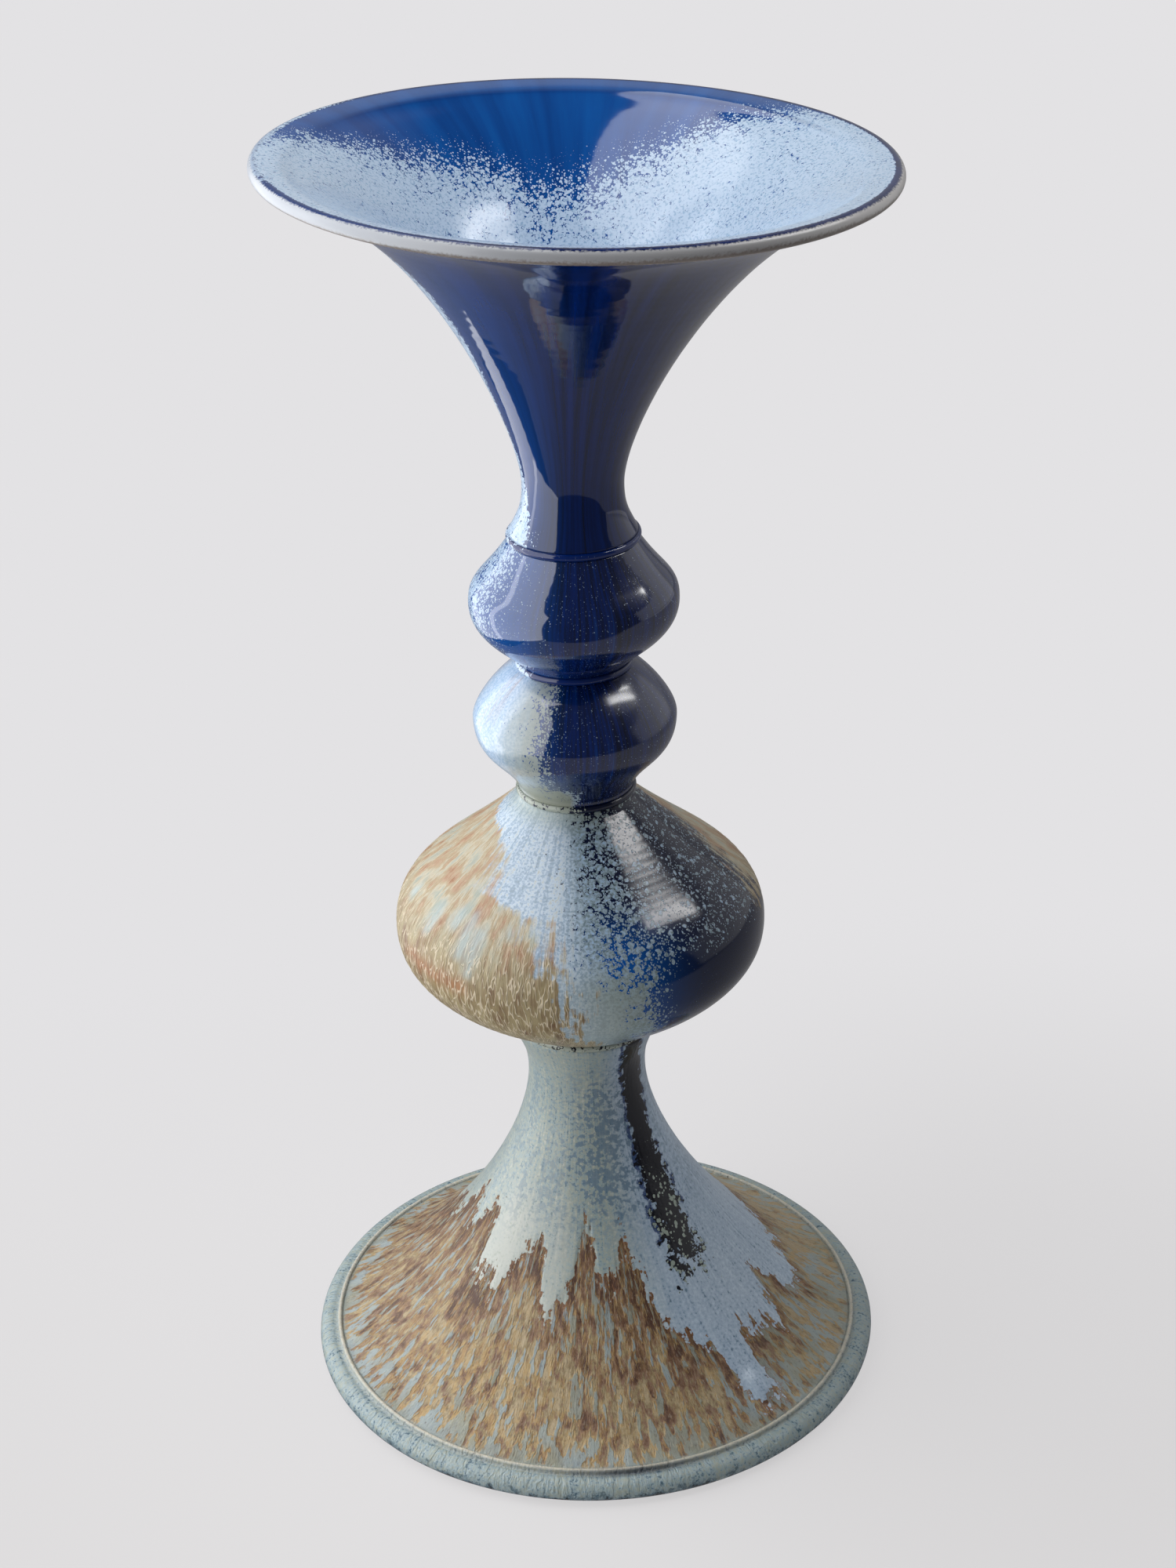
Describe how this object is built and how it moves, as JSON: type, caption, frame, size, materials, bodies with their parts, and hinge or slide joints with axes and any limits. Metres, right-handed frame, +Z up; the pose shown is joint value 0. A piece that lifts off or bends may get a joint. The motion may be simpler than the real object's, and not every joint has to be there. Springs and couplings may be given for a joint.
{
  "type": "pottery vase",
  "caption": "Tall glazed stoneware vase: flared hollow foot, flattened bulb, stacked beads, narrow throat and wide trumpet mouth. Stands on its foot ring and holds cut stems.",
  "frame": {"origin": "centre of the foot ring's resting plane", "axes": "+Z up along the throwing axis, from the foot to the mouth"},
  "size_m": [0.2742, 0.2742, 0.5915],
  "materials": {
    "foot_glaze": "satin celadon and brown glaze over tooled stoneware",
    "celadon_glaze": "satin celadon glaze",
    "bulb_glaze": "satin ochre glaze running into glossy speckled blue",
    "bead_glaze": "glossy speckled blue glaze",
    "navy_glaze": "glossy navy glaze",
    "cobalt_glaze": "glossy cobalt glaze with pale blue crystals"
  },
  "bodies": {
    "root": {"foot": "foot_glaze", "foot_joint_ring": "celadon_glaze", "main_bulb": "bulb_glaze", "collar_joint_ring": "celadon_glaze", "lower_bead": "bead_glaze", "waist_joint_ring": "navy_glaze", "upper_bead": "bead_glaze", "throat_joint_ring": "navy_glaze", "trumpet": "cobalt_glaze"}
  },
  "joints": []
}
